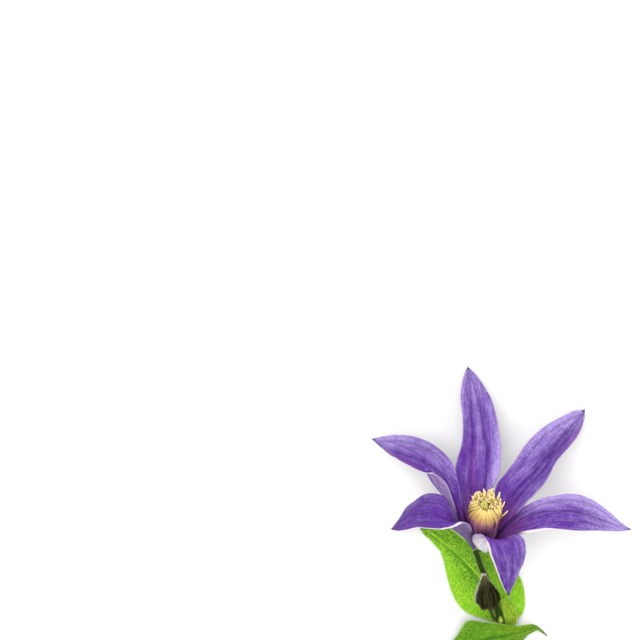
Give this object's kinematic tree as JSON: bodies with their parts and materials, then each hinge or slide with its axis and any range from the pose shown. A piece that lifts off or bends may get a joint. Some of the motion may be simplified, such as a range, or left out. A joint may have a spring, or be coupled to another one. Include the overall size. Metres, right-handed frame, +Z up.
{
  "type": "clematis flower",
  "caption": "Open violet clematis flower as picked, with long pointed sepals, a cream boss of stamens, a bud and leaves on a curved cut stem, lying on a surface.",
  "frame": {"origin": "centre of the bounding box's bottom, on the surface that the flower lies on", "axes": "+Z up from the surface; +Y along the stem from its cut end towards the flower and the tip of the top sepal; +X to the right as seen from above"},
  "size_m": [0.078, 0.116, 0.0321],
  "materials": {
    "sepal": "matte",
    "receptacle": "matte",
    "pistil": "matte",
    "stamen": "matte",
    "stem": "satin",
    "bud": "matte",
    "node_bud": "matte",
    "leaf": "satin",
    "young_leaf": "satin"
  },
  "bodies": {
    "root": {"sepal_top": "sepal", "sepal_upper_right": "sepal", "sepal_right": "sepal", "sepal_bottom": "sepal", "sepal_lower_left": "sepal", "sepal_upper_left": "sepal", "receptacle": "receptacle", "pistil": "pistil", "stamen_01": "stamen", "stamen_02": "stamen", "stamen_03": "stamen", "stamen_04": "stamen", "stamen_05": "stamen", "stamen_06": "stamen", "stamen_07": "stamen", "stamen_08": "stamen", "stamen_09": "stamen", "stamen_10": "stamen", "stamen_11": "stamen", "stamen_12": "stamen", "stamen_13": "stamen", "stamen_14": "stamen", "stamen_15": "stamen", "stamen_16": "stamen", "stamen_17": "stamen", "stamen_18": "stamen", "stamen_19": "stamen", "stamen_20": "stamen", "stamen_21": "stamen", "stamen_22": "stamen", "stamen_23": "stamen", "stamen_24": "stamen", "stamen_25": "stamen", "stamen_26": "stamen", "stamen_27": "stamen", "stamen_28": "stamen", "stamen_29": "stamen", "stamen_30": "stamen", "stamen_31": "stamen", "stamen_32": "stamen", "stamen_33": "stamen", "stamen_34": "stamen", "stamen_35": "stamen", "stamen_36": "stamen", "stamen_37": "stamen", "stamen_38": "stamen", "stamen_39": "stamen", "stamen_40": "stamen", "stamen_41": "stamen", "stamen_42": "stamen", "stamen_43": "stamen", "stamen_44": "stamen", "stem": "stem", "flower_bud": "bud", "bud_stalk": "stem", "node_bud": "node_bud", "leaf_large": "leaf", "leaf_young": "young_leaf", "leaf_lower": "leaf"}
  },
  "joints": []
}
